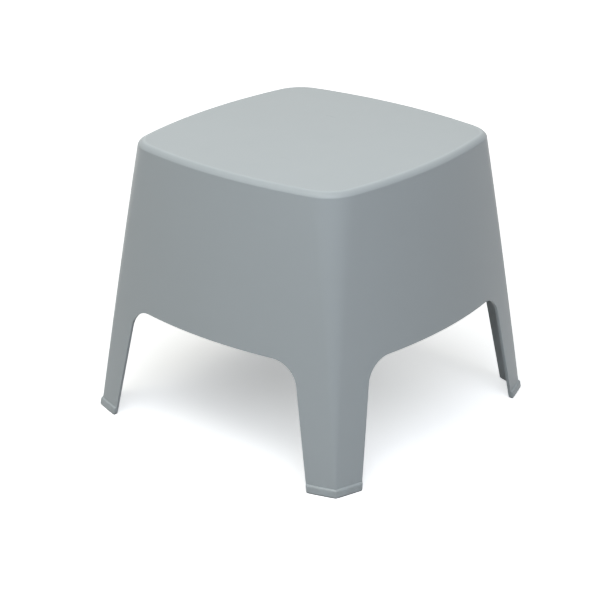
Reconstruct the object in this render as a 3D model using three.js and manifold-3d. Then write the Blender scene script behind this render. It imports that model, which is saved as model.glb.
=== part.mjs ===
// Stacking stool: one moulded plastic shell, closed by a seat at the top and cut away
// into four corner legs, with a soft pad pushed into the end of each leg.
// Millimetres, +Z up, origin on the floor below the middle of the seat.
// The four sides are alike. Each is an arc in plan, drafted so that the stools nest.

import * as THREE from "three";
import { mergeVertices } from "three/addons/utils/BufferGeometryUtils.js";
import Module from "manifold-3d";

const wasm = await Module();
wasm.setup();

// Outside form of the shell, with its walls carried up to the seat and down to the floor
const stoolHeight = 440;
const seatHalfWidth = 219.4; // middle of the stool to the middle of a side
const wallSplay = 60.9; // a side stands out this much further at the floor than at the seat
const floorHalfWidth = seatHalfWidth + wallSplay;
const seatBow = 24.5; // the middle of a side stands out by this, past the line of its corners
const floorBow = 41.2;
const seatCornerRadius = 58;
const floorCornerRadius = 2;
const seatEdgeRadius = 9.5;

// Thicknesses of the shell
const wallThickness = 5.3; // measured level
const seatThickness = 4.5;
const innerCornerRadius = 1.5; // least radius inside a corner
const innerSeatFillet = 4;

// Arches between the legs
const archHeight = 189.2; // floor to the lower edge of the skirt
const archCornerRadius = 42.9;
const legWidthAtFloor = 43.5; // each leaf of a leg, from the sharp corner to the edge of the arch
const legWidthAtArch = 61.7;

// Raised boot round the outside of each leg's end
const bootHeight = 12.5;
const bootProud = 3;

// Foot pads: a sole under the boot and a tongue pushed up into a groove
const soleThickness = 1.2;
const soleInset = 0.8; // back from the faces and ends of the boot
const tongueThickness = 2.8;
const tongueHeight = 6;
const tongueEndInset = 5; // back from the edges of the arch
const pushFitClearance = 0.3;

// Ribs under the seat
const ribThickness = 2.4;
const ribDepth = 12;
const ribPitch = 43;
const ribsEachWay = 9;

// Stops that hold the next stool down the stack clear of the walls
const stackPitch = 50; // rise from one seat to the next in a stack
const stopThickness = 3.2;
const stopFootReach = 34; // in from the corner of the shell, at the stop's lower edge
const stopSeatReach = 62; // the same, at the seat

// Drawing finesse
const sideSteps = 7; // along half a side
const cornerSteps = 4; // round half a corner
const wallSteps = 7;
const edgeSteps = 4;
const archCornerSteps = 8;
const footSteps = 2; // along a foot strip, from the arch to the corner
const cutOverrun = 5;

const halfWidthAt = (z) => THREE.MathUtils.mapLinear(z, 0, stoolHeight, floorHalfWidth, seatHalfWidth);
const bowAt = (z) => THREE.MathUtils.mapLinear(z, 0, stoolHeight, floorBow, seatBow);
const cornerRadiusAt = (z) =>
  THREE.MathUtils.mapLinear(z, 0, stoolHeight, floorCornerRadius, seatCornerRadius);
const sharpCornerAt = (z) => halfWidthAt(z) - bowAt(z);

// Plan of the shell at a height, set in or, with a negative inset, out. Two circles make it:
// one for a side, whose centre lies on the axis, and one for a corner, on the diagonal.
function planAt(z, inset = 0) {
  const bow = bowAt(z);
  const sharpCorner = sharpCornerAt(z);
  const sideRadius = (sharpCorner ** 2 + bow ** 2) / (2 * bow) - inset;
  const sideCentre = halfWidthAt(z) - inset - sideRadius;
  const cornerRadius = Math.max(cornerRadiusAt(z) - inset, innerCornerRadius);
  const reach = sideRadius - cornerRadius;
  const cornerCentre = (sideCentre + Math.sqrt(2 * reach ** 2 - sideCentre ** 2)) / 2;
  const turn = Math.atan2(cornerCentre, cornerCentre - sideCentre);
  return { sideRadius, sideCentre, cornerRadius, cornerCentre, turn };
}

// Points on the +X side from a distance along it, up to the diagonal of the corner
function halfSide(plan, from, steps) {
  const points = [];
  const start = Math.asin(from / plan.sideRadius);
  for (let i = 0; i < steps; i++) {
    const angle = THREE.MathUtils.lerp(start, plan.turn, i / steps);
    points.push(
      new THREE.Vector2(
        plan.sideCentre + plan.sideRadius * Math.cos(angle),
        plan.sideRadius * Math.sin(angle),
      ),
    );
  }
  for (let i = 0; i <= cornerSteps; i++) {
    const angle = THREE.MathUtils.lerp(plan.turn, Math.PI / 4, i / cornerSteps);
    points.push(
      new THREE.Vector2(
        plan.cornerCentre + plan.cornerRadius * Math.cos(angle),
        plan.cornerCentre + plan.cornerRadius * Math.sin(angle),
      ),
    );
  }
  return points;
}

// From one side, round the corner between +X and +Y, to the same distance along the next side
function roundCorner(plan, from, steps) {
  const first = halfSide(plan, from, steps);
  const second = first.slice(0, -1).reverse();
  return [...first, ...second.map((p) => new THREE.Vector2(p.y, p.x))];
}

// The whole outline at a height, anticlockwise from the middle of the +X side
function ring(z, inset = 0) {
  const quarter = roundCorner(planAt(z, inset), 0, sideSteps).slice(0, -1);
  const points = [];
  for (let side = 0; side < 4; side++) {
    for (const p of quarter) {
      const turned = p.clone().rotateAround(new THREE.Vector2(), (side * Math.PI) / 2);
      points.push(new THREE.Vector3(turned.x, turned.y, z));
    }
  }
  return points;
}

// Closed solid through outlines with equal numbers of points, from the lowest up
function loft(rings) {
  const count = rings[0].length;
  const index = [];
  for (let level = 0; level + 1 < rings.length; level++) {
    for (let i = 0; i < count; i++) {
      const a = level * count + i;
      const b = level * count + ((i + 1) % count);
      index.push(a, b, b + count, a, b + count, a + count);
    }
  }
  const last = (rings.length - 1) * count;
  for (const [a, b, c] of THREE.ShapeUtils.triangulateShape(rings[0], [])) index.push(c, b, a);
  for (const [a, b, c] of THREE.ShapeUtils.triangulateShape(rings.at(-1), [])) {
    index.push(last + a, last + b, last + c);
  }
  return new THREE.BufferGeometry().setFromPoints(rings.flat()).setIndex(index);
}

function solidOf(geometry) {
  const bare = new THREE.BufferGeometry().setAttribute("position", geometry.getAttribute("position"));
  const merged = mergeVertices(bare.setIndex(geometry.getIndex()));
  return new wasm.Manifold(
    new wasm.Mesh({
      numProp: 3,
      vertProperties: new Float32Array(merged.getAttribute("position").array),
      triVerts: new Uint32Array(merged.getIndex().array),
    }),
  );
}

function geometryOf(solid) {
  const { vertProperties, triVerts } = solid.getMesh();
  const geometry = new THREE.BufferGeometry();
  geometry.setAttribute("position", new THREE.BufferAttribute(vertProperties, 3));
  geometry.setIndex(new THREE.BufferAttribute(triVerts, 1));
  geometry.computeVertexNormals();
  return geometry;
}

const together = (solids) => solids.reduce((sum, solid) => sum.add(solid));

// Full outside of the shell: the raised boot with its rounded shoulder, the wall, and the
// seat's edge rounded over. The boot stays only where the arches leave a leg.
function outsideForm() {
  const shoulderBase = bootHeight - bootProud;
  const wallTop = stoolHeight - seatEdgeRadius;
  const rings = [ring(soleThickness, -bootProud)];
  for (let i = 0; i <= edgeSteps; i++) {
    const angle = ((i / edgeSteps) * Math.PI) / 2;
    rings.push(ring(shoulderBase + bootProud * Math.sin(angle), -bootProud * Math.cos(angle)));
  }
  for (let i = 1; i < wallSteps; i++) {
    rings.push(ring(THREE.MathUtils.lerp(bootHeight, wallTop, i / wallSteps)));
  }
  for (let i = 0; i <= edgeSteps; i++) {
    const angle = ((i / edgeSteps) * Math.PI) / 2;
    rings.push(ring(wallTop + seatEdgeRadius * Math.sin(angle), seatEdgeRadius * (1 - Math.cos(angle))));
  }
  return solidOf(loft(rings));
}

// Space inside the walls, from below the floor to the underside of the seat.
// A smaller inset reaches into the walls, for what has to join them.
function insideForm(inset) {
  const top = stoolHeight - seatThickness;
  const wallTop = top - innerSeatFillet;
  const rings = [];
  for (let i = 0; i < wallSteps; i++) {
    rings.push(ring(THREE.MathUtils.lerp(-cutOverrun, wallTop, i / wallSteps), inset));
  }
  for (let i = 0; i <= edgeSteps; i++) {
    const angle = ((i / edgeSteps) * Math.PI) / 2;
    const drawnIn = inset + innerSeatFillet * (1 - Math.cos(angle));
    rings.push(ring(wallTop + innerSeatFillet * Math.sin(angle), drawnIn));
  }
  return solidOf(loft(rings));
}

// Half width of the arch at a height, between straight leg edges
const archHalfWidthAtFloor = sharpCornerAt(0) - legWidthAtFloor;
const archHalfWidthAtTop = sharpCornerAt(archHeight) - legWidthAtArch;
const legEdgeLean = (archHalfWidthAtFloor - archHalfWidthAtTop) / archHeight;
const archHalfWidthAt = (z) => archHalfWidthAtFloor - legEdgeLean * z;

// Cutter that runs right through the stool along Y and opens two arches
function archCutter() {
  const slant = Math.hypot(1, legEdgeLean);
  const centreZ = archHeight - archCornerRadius;
  const centreX = archHalfWidthAt(centreZ) - archCornerRadius * slant;
  const lean = Math.atan(legEdgeLean);
  const foot = archHalfWidthAt(-cutOverrun);
  const outline = new THREE.Shape();
  outline.moveTo(-foot, -cutOverrun);
  outline.lineTo(foot, -cutOverrun);
  outline.absarc(centreX, centreZ, archCornerRadius, lean, Math.PI / 2, false);
  outline.absarc(-centreX, centreZ, archCornerRadius, Math.PI / 2, Math.PI - lean, false);
  outline.closePath();
  const reach = floorHalfWidth + bootProud + cutOverrun;
  const geometry = new THREE.ExtrudeGeometry(outline, {
    depth: 2 * reach,
    bevelEnabled: false,
    curveSegments: archCornerSteps,
  });
  return solidOf(geometry.translate(0, 0, -reach).rotateX(Math.PI / 2));
}

// Strip that follows the foot of a leg round its corner, between two insets from the wall's
// outside, with square ends set back from the edges of the arches. It keeps the plan of the
// leg's end at every height, so that a pad can be pushed straight up.
function footStrip(outerInset, innerInset, endInset, bottom, top) {
  const from = archHalfWidthAt(soleThickness) + endInset;
  const outer = roundCorner(planAt(soleThickness, outerInset), from, footSteps);
  const inner = roundCorner(planAt(soleThickness, innerInset), from, footSteps);
  const shape = new THREE.Shape([...outer, ...inner.reverse()]);
  const geometry = new THREE.ExtrudeGeometry(shape, { depth: top - bottom, bevelEnabled: false });
  return solidOf(geometry.translate(0, 0, bottom));
}

// The tongue stands midway between the boot's outer face and the wall's inner face
const tongueMiddle = (wallThickness - bootProud) / 2;

function padForm() {
  const sole = footStrip(soleInset - bootProud, wallThickness - soleInset, soleInset, 0, soleThickness);
  const half = tongueThickness / 2;
  const tongueTop = soleThickness + tongueHeight;
  const tongue = footStrip(tongueMiddle - half, tongueMiddle + half, tongueEndInset, 0, tongueTop);
  return sole.add(tongue);
}

function grooveCutter() {
  const half = tongueThickness / 2 + pushFitClearance;
  const top = soleThickness + tongueHeight + pushFitClearance;
  const endInset = tongueEndInset - pushFitClearance;
  return footStrip(tongueMiddle - half, tongueMiddle + half, endInset, -cutOverrun, top);
}

// Grid of ribs hanging from the seat, long enough to run into the walls
function seatRibs() {
  const top = stoolHeight - seatThickness / 2;
  const bottom = stoolHeight - seatThickness - ribDepth;
  const ribs = [];
  for (let i = 0; i < ribsEachWay; i++) {
    const place = (i - (ribsEachWay - 1) / 2) * ribPitch;
    const along = new THREE.BoxGeometry(2 * floorHalfWidth, ribThickness, top - bottom);
    along.translate(0, place, (top + bottom) / 2);
    ribs.push(solidOf(along), solidOf(along.clone().rotateZ(Math.PI / 2)));
  }
  return together(ribs);
}

// Upright web across each corner. Its level lower edge lands on the seat of the stool below.
function stackingStops() {
  const plan = planAt(stoolHeight - stackPitch);
  const corner = Math.SQRT2 * plan.cornerCentre + plan.cornerRadius;
  const top = stoolHeight - seatThickness / 2;
  const foot = stoolHeight - stackPitch;
  const web = new THREE.Shape();
  web.moveTo(corner, foot);
  web.lineTo(corner, top);
  web.lineTo(corner - stopSeatReach, top);
  web.lineTo(corner - stopSeatReach, stoolHeight - seatThickness - ribDepth);
  web.lineTo(corner - stopFootReach, foot);
  web.closePath();
  const geometry = new THREE.ExtrudeGeometry(web, { depth: stopThickness, bevelEnabled: false });
  geometry.translate(0, 0, -stopThickness / 2).rotateX(Math.PI / 2);
  const stops = [];
  for (let side = 0; side < 4; side++) {
    stops.push(solidOf(geometry.clone().rotateZ(Math.PI / 4 + (side * Math.PI) / 2)));
  }
  return together(stops);
}

// The shell is moulded in one piece: walls, seat, boots, ribs and stops
function shellForm() {
  const arches = archCutter();
  const webs = seatRibs().add(stackingStops()).intersect(insideForm(wallThickness / 2));
  let shell = outsideForm().subtract(insideForm(wallThickness));
  shell = shell.subtract(arches).subtract(arches.rotate([0, 0, 90])).add(webs);
  const groove = grooveCutter();
  for (let side = 0; side < 4; side++) {
    shell = shell.subtract(groove.rotate([0, 0, side * 90]));
  }
  return shell;
}

const greyPlastic = new THREE.MeshStandardMaterial({ color: 0x9aa1a5, roughness: 0.48, metalness: 0 });
const greyRubber = new THREE.MeshStandardMaterial({ color: 0x7d8386, roughness: 0.8, metalness: 0 });

const stool = new THREE.Group();

const shell = new THREE.Mesh(geometryOf(shellForm()), greyPlastic);
shell.name = "seat_shell";
stool.add(shell);

// One pad for each leg. The first is made for the corner between +X and +Y.
const padGeometry = geometryOf(padForm());
const corners = ["back_right", "back_left", "front_left", "front_right"];
for (const [quarterTurns, corner] of corners.entries()) {
  const pad = new THREE.Mesh(padGeometry, greyRubber);
  pad.name = `foot_pad_${corner}`;
  pad.rotation.z = (quarterTurns * Math.PI) / 2;
  stool.add(pad);
}

export default stool;
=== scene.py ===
# Stacking stool, moulded in one piece, on four soft foot pads. Metres, +Z up, floor at z = 0.
import math

import bpy
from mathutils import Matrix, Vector


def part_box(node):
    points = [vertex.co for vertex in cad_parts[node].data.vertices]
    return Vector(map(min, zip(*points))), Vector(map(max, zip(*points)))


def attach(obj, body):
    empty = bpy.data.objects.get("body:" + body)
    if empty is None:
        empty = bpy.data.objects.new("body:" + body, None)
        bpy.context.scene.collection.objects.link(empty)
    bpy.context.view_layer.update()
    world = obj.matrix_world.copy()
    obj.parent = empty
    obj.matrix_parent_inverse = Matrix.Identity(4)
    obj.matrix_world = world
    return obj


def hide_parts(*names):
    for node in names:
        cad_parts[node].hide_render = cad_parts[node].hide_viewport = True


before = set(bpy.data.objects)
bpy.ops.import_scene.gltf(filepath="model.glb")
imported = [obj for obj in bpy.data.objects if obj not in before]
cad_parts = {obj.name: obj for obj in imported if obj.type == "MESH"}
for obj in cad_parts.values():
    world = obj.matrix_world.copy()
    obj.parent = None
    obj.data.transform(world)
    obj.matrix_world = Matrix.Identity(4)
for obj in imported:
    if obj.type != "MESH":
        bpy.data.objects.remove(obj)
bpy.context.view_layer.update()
shellLow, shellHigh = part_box("seat_shell")
padLow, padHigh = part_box("foot_pad_back_right")
padNodes = sorted(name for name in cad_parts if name.startswith("foot_pad_"))

# The outside form and the arches are drawn as if the walls ran from the seat down to the floor
shell = {
    "height": shellHigh.z,
    "underside": shellLow.z,  # where the boots stand on their pads
    "seatHalfWidth": 0.2194,  # middle of the stool to the middle of a side
    "floorHalfWidth": 0.2803,
    "seatBow": 0.0245,  # how far a side stands out past the line of its corners
    "floorBow": 0.0412,
    "seatCornerRadius": 0.058,
    "floorCornerRadius": 0.002,
    "seatEdgeRadius": 0.0116,  # the seat's edge rolls over at this radius, then turns down sharply
    "seatEdgeFoot": 0.0036,  # radius of that last turn into the wall
    "seatEdgeTurn": math.radians(29),  # slope at which the one radius follows the other
    "wallThickness": 0.0053,
    "seatThickness": 0.0045,
    "innerCornerRadius": 0.0015,
    "innerSeatFillet": 0.004,
    "archHeight": 0.1892,
    "archCornerRadius": 0.0429,
    "legWidthAtFloor": 0.0435,
    "legWidthAtArch": 0.0617,
    "bootHeight": 0.0125,
    "bootProud": 0.003,  # the boot's upper edge and its ends are rounded by as much
    "creaseGap": 0.0012,  # a row this near an edge keeps the shading of the wall even
    "rimRound": 0.0006,  # broken edge of the moulding all round the arches and feet
}
ribs = {
    "count": 9,
    "pitch": 0.043,
    "thickness": 0.0024,
    "depth": 0.012,
    "sink": 0.0015,  # ribs and stops run this far into the seat and walls
    "edgeRound": 0.0005,
}
stops = {
    "pitch": 0.05,  # rise from one stool to the next in a stack
    "thickness": 0.0032,
    "footReach": 0.034,
    "seatReach": 0.062,
}
pads = {
    "soleThickness": shell["underside"],
    "soleInset": 0.0008,
    "tongueThickness": 0.0028,
    "tongueTop": padHigh.z,
    "tongueEndInset": 0.005,
    "clearance": 0.0003,
    "edgeRound": 0.0002,
    "tongueEndRound": 0.001,
}

# Steps of the shell's faces: along half a side, then up from a foot to the middle of the seat
columns = {"skirt": 10, "archCorner": 8, "legEnd": 3, "leg": 4, "corner": 6}
rows = {"shoulder": 5, "leg": 6, "archCorner": 10, "wall": 10, "edgeFoot": 4, "seatEdge": 6, "seat": 6}
quarterTurn = math.pi / 2
diagonal = math.pi / 4  # from the middle of a side round to a corner
hair = 1e-6  # a gap too small to matter, in metres


class Wire:  # an output of a node, which sums and products can use
    tree = None

    def __init__(self, socket):
        self.socket = socket

    def __add__(self, other):
        return calc("ADD", self, other)

    def __sub__(self, other):
        return calc("SUBTRACT", self, other)

    def __mul__(self, other):
        return calc("MULTIPLY", self, other)

    def __truediv__(self, other):
        return calc("DIVIDE", self, other)

    def __rsub__(self, other):
        return calc("SUBTRACT", other, self)

    def __lt__(self, other):
        return calc("LESS_THAN", self, other)

    def __gt__(self, other):
        return calc("GREATER_THAN", self, other)

    __radd__ = __add__
    __rmul__ = __mul__


def plug(value, socket):
    if isinstance(value, Wire):
        Wire.tree.links.new(value.socket, socket)
    else:
        socket.default_value = value


def addNode(kind, plugged=None, **settings):
    node = Wire.tree.nodes.new(kind)
    for name, value in settings.items():
        setattr(node, name, value)
    for name, value in (plugged or {}).items():
        plug(value, node.inputs[name])
    return node


def calc(operation, *values):
    node = addNode("ShaderNodeMath", operation=operation)
    for value, socket in zip(values, node.inputs):
        plug(value, socket)
    return Wire(node.outputs[0])


def between(low, high, share):
    return low + (high - low) * share


def pick(condition, chosen, otherwise):
    node = addNode("GeometryNodeSwitch", {"Switch": condition, "False": otherwise, "True": chosen},
                   input_type="FLOAT")
    return Wire(node.outputs[0])


def stepwise(number, stretches, last):  # the value of the first stretch that reaches the row or column
    value = last
    for end, wire in reversed(stretches):
        value = pick(number < end + 0.5, wire, value)
    return value


def vector(x, y, z):
    return Wire(addNode("ShaderNodeCombineXYZ", {"X": x, "Y": y, "Z": z}).outputs[0])


def parts(wire):
    node = addNode("ShaderNodeSeparateXYZ", {"Vector": wire})
    return [Wire(output) for output in node.outputs]


def turnedAbout(wire, angle):
    node = addNode("ShaderNodeVectorRotate", {"Vector": wire, "Angle": angle}, rotation_type="Z_AXIS")
    return Wire(node.outputs[0])


def placeNow():
    return Wire(addNode("GeometryNodeInputPosition").outputs[0])


def remember(mesh, name, value, domain="POINT"):
    node = addNode("GeometryNodeStoreNamedAttribute", {"Geometry": mesh, "Name": name, "Value": value},
                   data_type="FLOAT", domain=domain)
    return Wire(node.outputs[0])


def recall(name):
    return Wire(addNode("GeometryNodeInputNamedAttribute", {"Name": name}, data_type="FLOAT").outputs[0])


def moveTo(mesh, place, where=True):
    plugged = {"Geometry": mesh, "Selection": where, "Position": place}
    return Wire(addNode("GeometryNodeSetPosition", plugged).outputs[0])


def weld(mesh):
    return Wire(addNode("GeometryNodeMergeByDistance", {"Geometry": mesh, "Distance": hair}).outputs[0])


def joined(*meshes):
    node = addNode("GeometryNodeJoinGeometry")
    for mesh in reversed(meshes):
        Wire.tree.links.new(mesh.socket, node.inputs[0])
    return Wire(node.outputs[0])


def startTree(name, sizes):  # a new tree, and a wire for each of its named sizes
    tree = bpy.data.node_groups.new(name, "GeometryNodeTree")
    Wire.tree = tree
    tree.interface.new_socket("Geometry", in_out="INPUT", socket_type="NodeSocketGeometry")
    tree.interface.new_socket("Geometry", in_out="OUTPUT", socket_type="NodeSocketGeometry")
    tree.interface.new_socket("Material", in_out="INPUT", socket_type="NodeSocketMaterial")
    for sizeName in sizes:
        tree.interface.new_socket(sizeName, in_out="INPUT", socket_type="NodeSocketFloat")
    inputs = tree.nodes.new("NodeGroupInput")
    return {socketName: Wire(inputs.outputs[socketName]) for socketName in [*sizes, "Geometry", "Material"]}


def finishTree(mesh, material):
    mesh = Wire(addNode("GeometryNodeRealizeInstances", {"Geometry": mesh}).outputs[0])
    mesh = Wire(addNode("GeometryNodeSetShadeSmooth", {"Geometry": mesh}).outputs[0])
    mesh = Wire(addNode("GeometryNodeSetMaterial", {"Geometry": mesh, "Material": material}).outputs[0])
    output = Wire.tree.nodes.new("NodeGroupOutput")
    plug(mesh, output.inputs["Geometry"])
    return Wire.tree


def grow(name, tree, sizes, material):  # runs a tree and keeps its result as a plain mesh
    holder = bpy.data.objects.new(name, bpy.data.meshes.new(name))
    bpy.context.scene.collection.objects.link(holder)
    return reshaped(holder, tree, sizes, material)


def reshaped(piece, tree, sizes, material):  # runs a tree on a piece that is already there
    modifier = piece.modifiers.new(tree.name, "NODES")
    modifier.node_group = tree
    values = {**sizes, "Material": material}
    for item in tree.interface.items_tree:
        if item.in_out == "INPUT" and item.name != "Geometry":
            modifier[item.identifier] = values[item.name]
    return settled(piece)


def settled(piece):  # the piece with its modifiers turned into plain mesh
    bpy.context.view_layer.update()
    evaluated = piece.evaluated_get(bpy.context.evaluated_depsgraph_get())
    mesh = bpy.data.meshes.new_from_object(evaluated)
    mesh.name = piece.name
    while mesh.materials and mesh.materials[0] is None:
        mesh.materials.pop(index=0)
    piece.modifiers.clear()
    piece.data = mesh
    return piece


# Plan of the stool at a height: a wide arc for each side and a small one for each corner
def planAt(size, z, inset):  # inset moves both arcs inwards from the outer face
    share = z / size["height"]
    halfWidth = between(size["floorHalfWidth"], size["seatHalfWidth"], share)
    bow = between(size["floorBow"], size["seatBow"], share)
    sharpCorner = halfWidth - bow
    sideRadius = (sharpCorner * sharpCorner + bow * bow) / (bow * 2) - inset
    sideCentre = halfWidth - inset - sideRadius
    drawnCorner = between(size["floorCornerRadius"], size["seatCornerRadius"], share) - inset
    cornerRadius = calc("MAXIMUM", drawnCorner, size["innerCornerRadius"])
    reach = sideRadius - cornerRadius
    cornerCentre = (sideCentre + calc("SQRT", reach * reach * 2 - sideCentre * sideCentre)) / 2
    turn = calc("ARCTAN2", cornerCentre, cornerCentre - sideCentre)
    return {"sideRadius": sideRadius, "sideCentre": sideCentre, "cornerRadius": cornerRadius,
            "cornerCentre": cornerCentre, "turn": turn,
            "sideEnd": sideRadius * calc("SINE", turn), "sharpCorner": sharpCorner}


def onSide(plan, across):  # depth of the side at a distance from its middle
    return plan["sideCentre"] + calc("SQRT", plan["sideRadius"] * plan["sideRadius"] - across * across)


def onCorner(plan, angle):
    depth = plan["cornerCentre"] + plan["cornerRadius"] * calc("COSINE", angle)
    across = plan["cornerCentre"] + plan["cornerRadius"] * calc("SINE", angle)
    return depth, across


# The arch's outline, seen square on: a leaning leg edge, a round corner and a level top
def sharpCornerAt(z):  # where the lines of two sides would meet, from the middle of either
    atFloor = shell["floorHalfWidth"] - shell["floorBow"]
    atSeat = shell["seatHalfWidth"] - shell["seatBow"]
    return between(atFloor, atSeat, z / shell["height"])


def archSizes():
    footHalf = sharpCornerAt(0) - shell["legWidthAtFloor"]
    topHalf = sharpCornerAt(shell["archHeight"]) - shell["legWidthAtArch"]
    lean = (footHalf - topHalf) / shell["archHeight"]
    centreUp = shell["archHeight"] - shell["archCornerRadius"]
    centreAcross = footHalf - lean * centreUp - shell["archCornerRadius"] * math.hypot(1, lean)
    tangentUp = centreUp + shell["archCornerRadius"] * math.sin(math.atan(lean))
    return {"archFootHalf": footHalf, "archLean": lean, "archCentreUp": centreUp,
            "archCentreAcross": centreAcross, "archTangentUp": tangentUp}


def archEdgeAt(size, z):
    rise = z - size["archCentreUp"]
    radius = size["archCornerRadius"]
    span = calc("MAXIMUM", radius * radius - rise * rise, 0.0)
    rounded = size["archCentreAcross"] + calc("SQRT", span)
    return pick(z < size["archTangentUp"], size["archFootHalf"] - size["archLean"] * z, rounded)


shellSizes = {**shell, **archSizes()}

# Numbers of the rows where one stretch of the wall ends and the next starts
shoulderRow = 2
bootRow = shoulderRow + rows["shoulder"]
tangentRow = bootRow + 1 + rows["leg"]
legTopRow = tangentRow + rows["archCorner"]
skirtRow = legTopRow + 1
wallRow = skirtRow + rows["wall"]
edgeFootRow = wallRow + 1 + rows["edgeFoot"]
edgeRow = edgeFootRow + rows["seatEdge"]
seatRow = edgeRow + 1 + rows["seat"]
archColumn = columns["skirt"] + columns["archCorner"]
endColumn = archColumn + columns["legEnd"]
cornerColumn = endColumn + columns["leg"]
diagonalColumn = cornerColumn + columns["corner"]


def shellPoint(size, inner):  # where a point of the wall lies, from its column and row
    column, row = recall("column"), recall("row")
    skirtAcross = size["archCentreAcross"] * (column / columns["skirt"])
    cornerShare = (column - columns["skirt"]) / columns["archCorner"]
    cornerAngle = quarterTurn - cornerShare * diagonal
    archAcross = size["archCentreAcross"] + size["archCornerRadius"] * calc("COSINE", cornerAngle)
    archUp = size["archCentreUp"] + size["archCornerRadius"] * calc("SINE", cornerAngle)
    legTopUp = size["archCentreUp"] + size["archCornerRadius"] * math.sin(diagonal)
    lowAcross = stepwise(column, [(columns["skirt"], skirtAcross)], archAcross)
    lowUp = stepwise(column, [(columns["skirt"], size["archHeight"]), (archColumn, archUp)], legTopUp)

    top = size["height"] - size["seatThickness"] if inner else size["height"]
    upperRadius = size["innerSeatFillet"] if inner else size["seatEdgeRadius"]
    lowerRadius = size["innerSeatFillet"] if inner else size["seatEdgeFoot"]
    edgeTurn = size["seatEdgeTurn"]
    edgeFoot = top - upperRadius * (1 - calc("SINE", edgeTurn))
    wallTop = edgeFoot - lowerRadius * calc("SINE", edgeTurn)
    shoulderAngle = (row - shoulderRow) * (quarterTurn / rows["shoulder"])
    shoulderUp = size["bootHeight"] - size["bootProud"] * (1 - calc("SINE", shoulderAngle))
    legFoot = size["bootHeight"] + size["creaseGap"]
    legUp = between(legFoot, size["archTangentUp"], (row - bootRow - 1) / rows["leg"])
    leanAngle = calc("ARCTANGENT", size["archLean"])
    sweep = between(leanAngle, diagonal, (row - tangentRow) / rows["archCorner"])
    sweepUp = size["archCentreUp"] + size["archCornerRadius"] * calc("SINE", sweep)
    skirtFoot = lowUp + size["creaseGap"]
    wallUp = between(skirtFoot, wallTop - size["creaseGap"], (row - skirtRow) / rows["wall"])
    lowerAngle = edgeTurn * (row - wallRow - 1) / rows["edgeFoot"]
    upperAngle = between(edgeTurn, quarterTurn, (row - edgeFootRow) / rows["seatEdge"])
    lowerUp = wallTop + lowerRadius * calc("SINE", lowerAngle)
    upperUp = top - upperRadius * (1 - calc("SINE", upperAngle))
    up = stepwise(row, [
        (0, size["underside"]), (1, size["underside"] + size["creaseGap"]), (bootRow, shoulderUp),
        (tangentRow, legUp), (legTopRow - 1, sweepUp), (legTopRow, lowUp), (wallRow, wallUp),
        (edgeFootRow, lowerUp), (edgeRow, upperUp)], top)

    wallInset = size["wallThickness"] if inner else 0.0
    lowerIn = lowerRadius * (1 - calc("COSINE", lowerAngle))
    edgeIn = lowerRadius + (upperRadius - lowerRadius) * calc("COSINE", edgeTurn)
    upperIn = edgeIn - upperRadius * calc("COSINE", upperAngle)
    inset = wallInset + stepwise(row, [
        (wallRow, 0.0), (edgeFootRow, lowerIn), (edgeRow, upperIn)], edgeIn)
    plan = planAt(size, up, inset)

    sharpAtFloor = size["floorHalfWidth"] - size["floorBow"]
    sharpAtSeat = size["seatHalfWidth"] - size["seatBow"]
    sharpBelow = between(sharpAtFloor, sharpAtSeat, lowUp / size["height"])
    narrowing = plan["sharpCorner"] / sharpBelow
    sharpAtLegTop = between(sharpAtFloor, sharpAtSeat, legTopUp / size["height"])
    legTopAcross = size["archCentreAcross"] + size["archCornerRadius"] * math.cos(diagonal)
    edgeAbove = legTopAcross * (plan["sharpCorner"] / sharpAtLegTop)
    legEdge = pick(row < legTopRow + 0.5, archEdgeAt(size, up), edgeAbove)
    legStart = legEdge + size["bootProud"]
    endShare = (column - archColumn) / columns["legEnd"]
    legShare = (column - endColumn) / columns["leg"]
    across = stepwise(column, [
        (archColumn - 1, lowAcross * narrowing), (endColumn, between(legEdge, legStart, endShare))],
        between(legStart, plan["sideEnd"], legShare))
    depth = onSide(plan, across)
    angle = between(plan["turn"], diagonal, (column - cornerColumn) / columns["corner"])
    cornerDepth, cornerAcross = onCorner(plan, angle)
    onFlat = column < cornerColumn + 0.5
    nearEdge = 1 - size["creaseGap"] / size["seatHalfWidth"]
    shrink = stepwise(row, [(edgeRow, 1.0)], nearEdge * (1 - (row - edgeRow - 1) / rows["seat"]))
    x = pick(onFlat, depth, cornerDepth) * shrink
    y = pick(onFlat, across, cornerAcross) * shrink * recall("flank")
    return turnedAbout(vector(x, y, up), recall("side") * quarterTurn)


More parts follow.
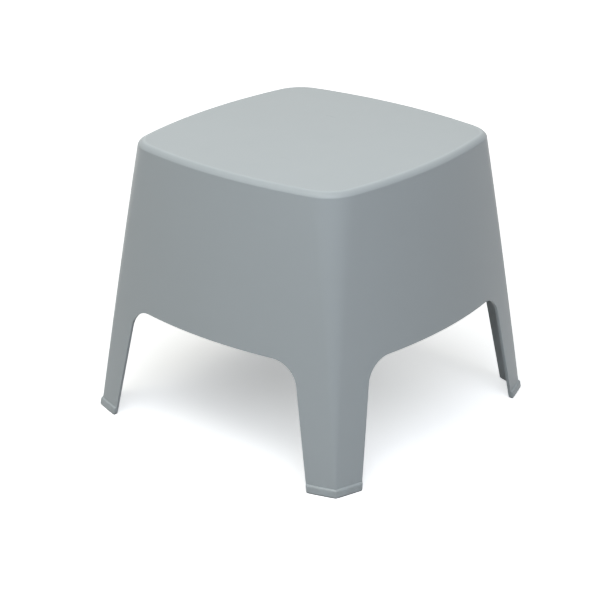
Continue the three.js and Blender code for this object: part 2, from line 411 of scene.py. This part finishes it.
# A tube of columns and rows, opened at the arches, shaped as the outside and then doubled
# inwards by the wall's thickness
def shellTree():
    size = startTree("stoolShell", shellSizes)
    around = 8 * diagonalColumn
    tube = addNode("GeometryNodeMeshCylinder",
                   {"Vertices": around, "Side Segments": seatRow, "Radius": 1.0, "Depth": float(seatRow)},
                   fill_type="NONE")
    mesh = Wire(tube.outputs["Mesh"])
    x, y, z = parts(placeNow())
    step = calc("ROUND", calc("ARCTAN2", y, x) * (around / math.tau))
    side = calc("ROUND", step / (2 * diagonalColumn))
    off = step - side * (2 * diagonalColumn)
    row = calc("ROUND", z + seatRow / 2)
    mesh = remember(mesh, "row", row)
    mesh = remember(mesh, "column", calc("ABSOLUTE", off))
    mesh = remember(mesh, "flank", calc("SIGN", off))
    mesh = remember(mesh, "side", side)
    inArch = calc("MULTIPLY", recall("row") < float(legTopRow), recall("column") < float(archColumn))
    mesh = Wire(addNode("GeometryNodeDeleteGeometry", {"Geometry": mesh, "Selection": inArch},
                        domain="FACE").outputs[0])
    # painted highlight: the material lightens the seat's edge along this line
    paintedHighlightLine = stepwise(row, [  # a thin line where the seat's edge meets its top
        (edgeRow - 3, 0.0), (edgeRow - 2, 0.5), (edgeRow - 1, 1.0), (edgeRow, 0.5)], 0.0)
    mesh = remember(mesh, "paintedHighlightLine", paintedHighlightLine)
    outside = weld(moveTo(mesh, shellPoint(size, False)))
    extrude = addNode("GeometryNodeExtrudeMesh",
                      {"Mesh": outside, "Offset Scale": 0.0, "Individual": False}, mode="FACES")
    inside = moveTo(Wire(extrude.outputs["Mesh"]), shellPoint(size, True), Wire(extrude.outputs["Top"]))
    inside = remember(inside, "paintedHighlightLine", 0.0)
    inside = Wire(addNode("GeometryNodeFlipFaces", {"Mesh": inside}).outputs[0])
    return finishTree(weld(joined(outside, inside)), size["Material"])


# Boots: the wall's outer skin stands out at the foot of each leg, and dies away at the ends
def bootTree():
    size = startTree("legBoots", shellSizes)
    place = placeNow()
    x, y = parts(place)[:2]
    sideAngle = calc("ROUND", calc("ARCTAN2", y, x) / quarterTurn) * quarterTurn
    depth, along, z = parts(turnedAbout(place, 0.0 - sideAngle))
    across = calc("ABSOLUTE", along)
    plan = planAt(size, z, 0.0)
    cornerTurn = calc("ARCTAN2", across - plan["cornerCentre"], depth - plan["cornerCentre"])
    onBend = cornerTurn > plan["turn"]
    centreDepth = pick(onBend, plan["cornerCentre"], plan["sideCentre"])
    centreAcross = pick(onBend, plan["cornerCentre"], 0.0)
    radius = pick(onBend, plan["cornerRadius"], plan["sideRadius"])
    outDepth = depth - centreDepth
    outAcross = across - centreAcross
    reach = calc("SQRT", outDepth * outDepth + outAcross * outAcross)
    inSkin = radius - reach < size["wallThickness"] / 2
    proud = size["bootProud"]
    fromEnd = calc("MINIMUM", calc("MAXIMUM", (across - archEdgeAt(size, z)) / proud, 0.0), 1.0)
    fromTop = calc("MAXIMUM", (z - size["bootHeight"] + proud) / proud, 0.0)
    endRound = calc("SQRT", fromEnd * (2 - fromEnd))
    topRound = calc("SQRT", calc("MAXIMUM", 1 - fromTop * fromTop, 0.0))
    outwards = proud * endRound * topRound / reach
    newDepth = depth + outDepth * outwards
    newAcross = (across + outAcross * outwards) * calc("SIGN", along)
    moved = turnedAbout(vector(newDepth, newAcross, z), sideAngle)
    atBoot = calc("MULTIPLY", inSkin, z < size["bootHeight"])
    return finishTree(moveTo(size["Geometry"], moved, atBoot), size["Material"])


# Strip round the foot of each leg, for the pads and for the grooves that hold them
stripSteps = {"end": 4, "leg": 3, "corner": 4}  # from the end of a leaf, round to the diagonal


def stripTree(name, sizes):
    size = startTree(name, sizes)
    endStep = stripSteps["leg"] + stripSteps["corner"]
    halfSteps = endStep + stripSteps["end"]
    tube = addNode("GeometryNodeMeshCylinder",
                   {"Vertices": 4, "Side Segments": 2 * halfSteps, "Radius": 1.0, "Depth": 2.0 * halfSteps},
                   fill_type="NGON")
    mesh = Wire(tube.outputs["Mesh"])
    x, y, z = parts(placeNow())
    corner = calc("ROUND", calc("ARCTAN2", y, x) / quarterTurn)  # -1, 0, 1 or 2 round the section
    atInside = calc("ABSOLUTE", corner - 0.5) < 1.0
    atTop = corner > 0.5
    step = calc("ABSOLUTE", calc("ROUND", z))
    endTurn = calc("MAXIMUM", step - endStep, 0.0) / stripSteps["end"] * quarterTurn
    outerInset = size["outerInset"] + size["endRound"] * (1 - calc("COSINE", endTurn))
    inset = pick(atInside, size["innerInset"], outerInset)
    up = pick(atTop, size["top"], size["bottom"])
    plan = planAt(size, size["underside"], inset)
    angle = between(diagonal, plan["turn"], step / stripSteps["corner"])
    cornerDepth, cornerAcross = onCorner(plan, angle)
    end = size["archFootHalf"] - size["archLean"] * size["underside"] + size["endInset"]
    legEnd = end + size["endRound"]
    across = between(plan["sideEnd"], legEnd, (step - stripSteps["corner"]) / stripSteps["leg"])
    across = pick(step < endStep + 0.5, across, legEnd - size["endRound"] * calc("SINE", endTurn))
    onBend = step < stripSteps["corner"] + 0.5
    depth = pick(onBend, cornerDepth, onSide(plan, across))
    across = pick(onBend, cornerAcross, across)
    mirrored = z > 0.0
    place = vector(pick(mirrored, across, depth), pick(mirrored, depth, across), up)
    strip = moveTo(mesh, place)
    return finishTree(fourTimes(strip), size["Material"])


def fourTimes(mesh):  # one copy for each corner of the stool
    ring = addNode("GeometryNodeMeshCircle", {"Vertices": 4, "Radius": hair})
    turnedBy = addNode("FunctionNodeAxisAngleToRotation",
                       {"Angle": Wire(addNode("GeometryNodeInputIndex").outputs[0]) * quarterTurn})
    copies = addNode("GeometryNodeInstanceOnPoints",
                     {"Points": Wire(ring.outputs[0]), "Instance": mesh,
                      "Rotation": Wire(turnedBy.outputs[0])})
    return Wire(copies.outputs[0])


# Grid of ribs under the seat, each as long as the space between the walls
def ribTree(sizes):
    size = startTree("stoolRibs", sizes)
    count = ribs["count"]
    start = vector(0.0, size["pitch"] * (-(count - 1) / 2), 0.0)
    line = addNode("GeometryNodeMeshLine",
                   {"Count": count, "Start Location": start, "Offset": vector(0.0, size["pitch"], 0.0)})
    bar = addNode("GeometryNodeMeshCube", {"Size": vector(2.0, size["thickness"], 2.0)})
    bars = addNode("GeometryNodeInstanceOnPoints",
                   {"Points": Wire(line.outputs[0]), "Instance": Wire(bar.outputs[0])})
    mesh = Wire(addNode("GeometryNodeRealizeInstances", {"Geometry": Wire(bars.outputs[0])}).outputs[0])
    x, y, z = parts(placeNow())
    ceiling = size["height"] - size["seatThickness"]
    up = pick(z > 0.0, ceiling + size["sink"], ceiling - size["depth"])
    plan = planAt(size, up, size["wallThickness"] - size["sink"])
    across = calc("ABSOLUTE", y)
    beyond = across - plan["cornerCentre"]
    radius = plan["cornerRadius"]
    onBend = plan["cornerCentre"] + calc("SQRT", radius * radius - beyond * beyond)
    end = pick(across < plan["sideEnd"], onSide(plan, across), onBend)
    mesh = moveTo(mesh, vector(calc("SIGN", x) * end, y, up))
    turned = addNode("GeometryNodeTransform", {"Geometry": mesh, "Rotation": (0, 0, quarterTurn)})
    merged = addNode("GeometryNodeMeshBoolean", operation="UNION", solver="MANIFOLD")
    for direction in (mesh, Wire(turned.outputs[0])):
        Wire.tree.links.new(direction.socket, merged.inputs[1])
    return finishTree(Wire(merged.outputs["Mesh"]), size["Material"])


# Upright web across each corner, which stands on the seat of the stool below
def stopTree(sizes):
    size = startTree("stackingStops", sizes)
    block = addNode("GeometryNodeMeshCube",
                    {"Size": vector(2.0, size["thickness"], 2.0), "Vertices Z": 3})
    x, y, z = parts(placeNow())
    foot = size["height"] - size["stackPitch"]
    ceiling = size["height"] - size["seatThickness"]
    up = pick(z > 0.5, ceiling + size["sink"], pick(z < -0.5, foot, ceiling - size["ribDepth"]))
    plan = planAt(size, up, size["wallThickness"] - size["sink"])
    wall = plan["cornerCentre"] * math.sqrt(2) + plan["cornerRadius"]
    planBelow = planAt(size, foot, 0.0)
    corner = planBelow["cornerCentre"] * math.sqrt(2) + planBelow["cornerRadius"]
    inner = corner - pick(z < -0.5, size["footReach"], size["seatReach"])
    web = moveTo(Wire(block.outputs[0]), vector(pick(x > 0.0, wall, inner), y, up))
    turned = addNode("GeometryNodeTransform", {"Geometry": web, "Rotation": (0, 0, diagonal)})
    return finishTree(fourTimes(Wire(turned.outputs[0])), size["Material"])


edgeAngle = math.radians(40)  # edges sharper than this are broken
smoothAngle = math.radians(35)  # and edges flatter than this are shaded smooth


def bevelled(piece, width, segments):
    bevel = piece.modifiers.new("edges", "BEVEL")
    bevel.width = width
    bevel.segments = segments
    bevel.limit_method = "ANGLE"
    bevel.angle_limit = edgeAngle
    bevel.use_clamp_overlap = True
    return settled(piece)


def combined(piece, other, operation):  # joins or cuts the piece with another, which it uses up
    boolean = piece.modifiers.new(operation.lower(), "BOOLEAN")
    boolean.operation = operation
    boolean.solver = "MANIFOLD"
    boolean.object = other
    settled(piece)
    bpy.data.objects.remove(other)
    return piece


# Satin plastic, as it leaves a lightly textured mould, and the soft rubber of the pads
moulded = {
    "colour": (0.480, 0.526, 0.538),
    "drift": 0.035,  # how far the colour wanders over a hand's width, and from grain to grain
    "driftPerMetre": 6.0,
    "fleck": 0.03,
    "grainPerMetre": 1500.0,
    "grainDepth": 0.00004,
    "ripplePerMetre": 11.0,  # slow waves left by the plastic as it shrank
    "rippleDepth": 0.0005,
    "roughness": 0.34,
    "roughnessRange": 0.10,
    "roughnessPerMetre": 24.0,
    "reflection": 0.3,
    "scuffPerMetre": (9.0, 420.0, 9.0),  # long one way and fine the other
    "scuffTurn": 0.7,
    "scuffBend": 0.6,
    "scuffFrom": (0.66, 0.8),  # only the peaks of the noise scuff
    "scuffGloss": 0.08,
    "highlightLineLighter": 0.13,  # painted highlight: a line along the seat's edge, lighter and a little glossier
    "highlightLineGloss": 0.05,
    "dustHeight": 0.03,  # faint dust on the feet, up to here
    "dustShare": 0.25,
    "dustPerMetre": 90.0,
    "dustFrom": (0.35, 0.75),
    "dustRoughness": 0.12,
    "dustColour": (0.36, 0.35, 0.33, 1.0),
}
padRubber = {
    "dark": (0.085, 0.093, 0.098, 1.0),
    "pale": (0.125, 0.132, 0.136, 1.0),
    "mottlePerMetre": 140.0,
    "mottleRange": (0.3, 0.7),
    "roughness": (0.62, 0.8),
    "grainPerMetre": 900.0,
    "grainDepth": 0.00008,
}


def startMaterial(name):
    material = bpy.data.materials.new(name)
    material.use_nodes = True
    Wire.tree = material.node_tree
    shader = Wire.tree.nodes["Principled BSDF"]
    return material, shader


def noise(place, perMetre, detail=2.0, distortion=0.0):  # 0 to 1, about 0.5
    node = addNode("ShaderNodeTexNoise", {"Vector": place, "Scale": perMetre, "Detail": detail,
                                          "Distortion": distortion})
    return Wire(node.outputs["Fac"])


def ramped(value, low, high, toLow=0.0, toHigh=1.0):
    node = addNode("ShaderNodeMapRange", {"Value": value, "From Min": low, "From Max": high,
                                          "To Min": toLow, "To Max": toHigh},
                   interpolation_type="SMOOTHSTEP")
    return Wire(node.outputs["Result"])


def mixed(share, first, second):
    node = addNode("ShaderNodeMix", data_type="RGBA")
    for value, socket in zip((share, first, second), (node.inputs[0], node.inputs[6], node.inputs[7])):
        plug(value, socket)
    return Wire(node.outputs[2])


def shaded(colour, share):  # the colour with its brightness changed by a share
    return tuple(channel * (1 + share) for channel in colour) + (1.0,)


def bumped(height, depth, under=None):
    node = addNode("ShaderNodeBump", {"Height": height, "Distance": depth})
    if under is not None:
        plug(under, node.inputs["Normal"])
    return Wire(node.outputs["Normal"])


def mouldedPlastic():
    material, shader = startMaterial("satinPlastic")
    place = Wire(addNode("ShaderNodeTexCoord").outputs["Object"])
    height = parts(place)[2]
    drift = noise(place, moulded["driftPerMetre"])
    grain = noise(place, moulded["grainPerMetre"], detail=3.0)
    shift = between(drift, grain, moulded["fleck"] / (moulded["drift"] + moulded["fleck"]))
    colour = mixed(shift, shaded(moulded["colour"], -moulded["drift"]),
                   shaded(moulded["colour"], moulded["drift"]))
    stretched = addNode("ShaderNodeMapping", {"Vector": place, "Scale": moulded["scuffPerMetre"],
                                              "Rotation": (0.0, 0.0, moulded["scuffTurn"])})
    scuffNoise = noise(Wire(stretched.outputs[0]), 1.0, detail=4.0, distortion=moulded["scuffBend"])
    scuff = ramped(scuffNoise, *moulded["scuffFrom"])
    dustPatches = ramped(noise(place, moulded["dustPerMetre"], detail=4.0), *moulded["dustFrom"])
    dust = ramped(height, moulded["dustHeight"], 0.0) * dustPatches
    colour = mixed(dust * moulded["dustShare"], colour, moulded["dustColour"])
    # painted highlight: the base colour is lightened along the seat's edge
    paintedHighlightLine = Wire(addNode("ShaderNodeAttribute", attribute_name="paintedHighlightLine").outputs["Fac"])
    colour = mixed(paintedHighlightLine, colour, shaded(moulded["colour"], moulded["highlightLineLighter"]))
    plug(colour, shader.inputs["Base Color"])
    wander = noise(place, moulded["roughnessPerMetre"], detail=3.0) - 0.5
    rough = wander * moulded["roughnessRange"] + moulded["roughness"] + dust * moulded["dustRoughness"]
    rough = rough - scuff * moulded["scuffGloss"] - paintedHighlightLine * moulded["highlightLineGloss"]
    plug(rough, shader.inputs["Roughness"])
    shader.inputs["Specular IOR Level"].default_value = moulded["reflection"]
    ripple = bumped(noise(place, moulded["ripplePerMetre"], detail=1.0), moulded["rippleDepth"])
    plug(bumped(grain, moulded["grainDepth"], ripple), shader.inputs["Normal"])
    return material


def softRubber():
    material, shader = startMaterial("padRubber")
    place = Wire(addNode("ShaderNodeTexCoord").outputs["Object"])
    mottle = noise(place, padRubber["mottlePerMetre"], detail=4.0)
    plug(mixed(mottle, padRubber["dark"], padRubber["pale"]), shader.inputs["Base Color"])
    plug(ramped(mottle, *padRubber["mottleRange"], *padRubber["roughness"]), shader.inputs["Roughness"])
    grain = noise(place, padRubber["grainPerMetre"], detail=3.0)
    plug(bumped(grain, padRubber["grainDepth"]), shader.inputs["Normal"])
    return material


plastic = mouldedPlastic()
rubber = softRubber()

shellPiece = grow("seatShell", shellTree(), shellSizes, plastic)
bevelled(shellPiece, shell["rimRound"], segments=3)
reshaped(shellPiece, bootTree(), shellSizes, plastic)
print("shell:", len(shellPiece.data.polygons), "faces")

ribSizes = {**shellSizes, **ribs}
stopSizes = {**shellSizes, **stops, "stackPitch": stops["pitch"], "sink": ribs["sink"],
             "ribDepth": ribs["depth"]}
ribPiece = grow("seatRibs", ribTree(ribSizes), ribSizes, plastic)
bevelled(ribPiece, ribs["edgeRound"], segments=2)
stopPiece = grow("stackingStops", stopTree(stopSizes), stopSizes, plastic)
bevelled(stopPiece, ribs["edgeRound"], segments=2)
print("ribs:", len(ribPiece.data.polygons), "faces, stops:", len(stopPiece.data.polygons))

tongueMiddle = (shell["wallThickness"] - shell["bootProud"]) / 2
halfTongue = pads["tongueThickness"] / 2
sole = {**shellSizes, "bottom": 0.0, "top": pads["soleThickness"], "endInset": pads["soleInset"],
        "outerInset": pads["soleInset"] - shell["bootProud"],
        "innerInset": shell["wallThickness"] - pads["soleInset"],
        "endRound": shell["bootProud"] - pads["soleInset"]}
tongue = {**shellSizes, "bottom": 0.0, "top": pads["tongueTop"], "endInset": pads["tongueEndInset"],
          "endRound": pads["tongueEndRound"],
          "outerInset": tongueMiddle - halfTongue, "innerInset": tongueMiddle + halfTongue}
groove = {**tongue, "bottom": -pads["tongueTop"], "top": pads["tongueTop"] + pads["clearance"],
          "endInset": pads["tongueEndInset"] - pads["clearance"],
          "endRound": pads["tongueEndRound"] + pads["clearance"],
          "outerInset": tongue["outerInset"] - pads["clearance"],
          "innerInset": tongue["innerInset"] + pads["clearance"]}
groovePiece = grow("padGroove", stripTree("padGroove", groove), groove, plastic)
padPiece = grow("footPads", stripTree("padSole", sole), sole, rubber)
bevelled(padPiece, pads["edgeRound"], segments=2)
combined(padPiece, grow("padTongue", stripTree("padTongue", tongue), tongue, rubber), "UNION")
print("pads:", len(padPiece.data.polygons), "faces")

combined(shellPiece, ribPiece, "UNION")
combined(shellPiece, stopPiece, "UNION")
combined(shellPiece, groovePiece, "DIFFERENCE")
for name in ("column", "row", "flank", "side"):  # the material reads only the painted highlight line
    shellPiece.data.attributes.remove(shellPiece.data.attributes[name])
for piece in (shellPiece, padPiece):
    piece.data.set_sharp_from_angle(angle=smoothAngle)
print("moulding:", len(shellPiece.data.polygons), "faces")
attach(shellPiece, "root")
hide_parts("seat_shell")
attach(padPiece, "root")
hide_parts(*padNodes)

# Camera, at the photograph's angle
camera = {
    "azimuth": 39.72,  # degrees round from the -Y side towards +X
    "elevation": 23.12,
    "distance": 2.8388,
    "height": 0.22051,  # where the view is aimed, before its framing shifts
    "framingRight": -0.02049,
    "framingUp": -0.04915,
    "lens": 108.755,
    "sensorWidth": 36,
}


def towards(azimuth, elevation):  # direction from the stool, in degrees
    azimuth, elevation = math.radians(azimuth), math.radians(elevation)
    return Vector((math.sin(azimuth) * math.cos(elevation), -math.cos(azimuth) * math.cos(elevation),
                   math.sin(elevation)))


def addCamera():
    back = towards(camera["azimuth"], camera["elevation"])
    azimuth = math.radians(camera["azimuth"])
    right = Vector((math.cos(azimuth), math.sin(azimuth), 0))
    up = back.cross(right)
    aim = Vector((0, 0, camera["height"])) + right * camera["framingRight"] + up * camera["framingUp"]
    data = bpy.data.cameras.new("camera")
    data.lens = camera["lens"]
    data.sensor_width = camera["sensorWidth"]
    eye = bpy.data.objects.new("camera", data)
    eye.location = aim + back * camera["distance"]
    eye.rotation_euler = back.to_track_quat("Z", "Y").to_euler()
    bpy.context.scene.collection.objects.link(eye)
    bpy.context.scene.camera = eye


addCamera()

# Plain studio: soft lamps over a pale floor, in a white world that gives no light itself
studio = {
    "floorHalfWidth": 9.0,
    "floorColour": (0.93, 0.93, 0.93, 1.0),
    "bounceUnder": 0.15,  # how pale the floor is in the light it throws back, under the stool; darker there as painted shade
    "bounceAround": 0.62,  # and around it
    "bounceFrom": (0.10, 0.42),  # distances from the middle between which the one becomes the other
    "shadeLift": 0.42,  # glow of the floor in the middle of the stool's shade, and beside it; lower under the stool, a painted shadow
    "besideLift": 0.64,
    "shadeMiddle": (-0.12, 0.05),
    "shadeReach": 0.32,
    "whiteFrom": (0.8, 2.4),  # the glow rises to white between these distances from the stool
    "liftColour": (0.972, 0.988, 0.994, 1.0),
    "white": (1.0, 1.0, 1.0, 1.0),
    "lampDistance": 3.0,
    "lampWidth": 2.4,
    "lampAim": (0.0, 0.0, 0.3),
}
lamps = {  # directions in degrees, as the camera's; a lamp that isn't mirrored shows in no gloss
    "overhead": {"azimuth": -15.0, "elevation": 75.0, "watts": 33.0,
                 "colour": (1.0, 0.985, 0.88), "mirrored": True},
    "front": {"azimuth": 45.0, "elevation": 52.0, "watts": 57.5,
              "colour": (0.885, 0.922, 1.0), "mirrored": True},
    "left": {"azimuth": -50.0, "elevation": 52.0, "watts": 8.0,
             "colour": (1.0, 1.0, 1.0), "mirrored": True},
    "back": {"azimuth": 222.0, "elevation": 35.0, "watts": 14.0,
             "colour": (1.0, 0.985, 0.95), "mirrored": False},
}


def rays(*kinds):  # 1 for the kinds of ray named
    path = addNode("ShaderNodeLightPath")
    share = Wire(path.outputs[f"Is {kinds[0]} Ray"])
    for kind in kinds[1:]:
        share = calc("MAXIMUM", share, Wire(path.outputs[f"Is {kind} Ray"]))
    return share


def distanceFrom(middle, x, y):
    across, along = x - middle[0], y - middle[1]
    return calc("SQRT", across * across + along * along)


def floorMaterial():  # clear from below, so that the underside can be seen
    material, shader = startMaterial("paleFloor")
    seen = rays("Camera", "Glossy", "Transmission")
    shader.inputs["Roughness"].default_value = 1.0
    shader.inputs["Specular IOR Level"].default_value = 0.0
    x, y = parts(Wire(addNode("ShaderNodeTexCoord").outputs["Object"]))[:2]
    fromMiddle = distanceFrom((0.0, 0.0), x, y)
    # painted shade: the floor throws back less light under the stool than around it
    bounce = ramped(fromMiddle, *studio["bounceFrom"], studio["bounceUnder"], studio["bounceAround"])
    plug(mixed(seen, bounce, studio["floorColour"]), shader.inputs["Base Color"])
    # painted shadow: the floor's glow dips around shadeMiddle, under the stool
    beside = ramped(distanceFrom(studio["shadeMiddle"], x, y), 0.0, studio["shadeReach"])
    away = ramped(fromMiddle, *studio["whiteFrom"])
    lift = between(between(studio["shadeLift"], studio["besideLift"], beside), 1.0, away)
    plug(mixed(away, studio["liftColour"], studio["white"]), shader.inputs["Emission Color"])
    plug(seen * lift, shader.inputs["Emission Strength"])
    below = Wire(addNode("ShaderNodeNewGeometry").outputs["Backfacing"])
    clear = Wire(addNode("ShaderNodeBsdfTransparent").outputs[0])
    mix = addNode("ShaderNodeMixShader")
    for value, socket in zip((below, Wire(shader.outputs[0]), clear), mix.inputs):
        plug(value, socket)
    plug(Wire(mix.outputs[0]), Wire.tree.nodes["Material Output"].inputs["Surface"])
    return material


def addFloor():
    half = studio["floorHalfWidth"]
    mesh = bpy.data.meshes.new("floor")
    mesh.from_pydata([(-half, -half, 0), (half, -half, 0), (half, half, 0), (-half, half, 0)], [],
                     [(0, 1, 2, 3)])
    mesh.materials.append(floorMaterial())
    floor = bpy.data.objects.new("floor", mesh)
    bpy.context.scene.collection.objects.link(floor)


def addLamp(name, lamp):
    data = bpy.data.lights.new(name, "AREA")
    data.energy = lamp["watts"]
    data.color = lamp["colour"]
    data.size = studio["lampWidth"]
    back = towards(lamp["azimuth"], lamp["elevation"])
    holder = bpy.data.objects.new(name, data)
    holder.location = Vector(studio["lampAim"]) + back * studio["lampDistance"]
    holder.rotation_euler = back.to_track_quat("Z", "Y").to_euler()
    holder.visible_glossy = lamp["mirrored"]
    bpy.context.scene.collection.objects.link(holder)


def addWorld():
    world = bpy.data.worlds.new("world")
    world.use_nodes = True
    Wire.tree = world.node_tree
    background = Wire.tree.nodes["Background"]
    background.inputs["Color"].default_value = studio["white"]
    plug(rays("Camera", "Glossy", "Transmission"), background.inputs["Strength"])
    bpy.context.scene.world = world


addFloor()
for lampName, lamp in lamps.items():
    addLamp(lampName, lamp)
addWorld()
bpy.context.scene.view_settings.view_transform = "Standard"
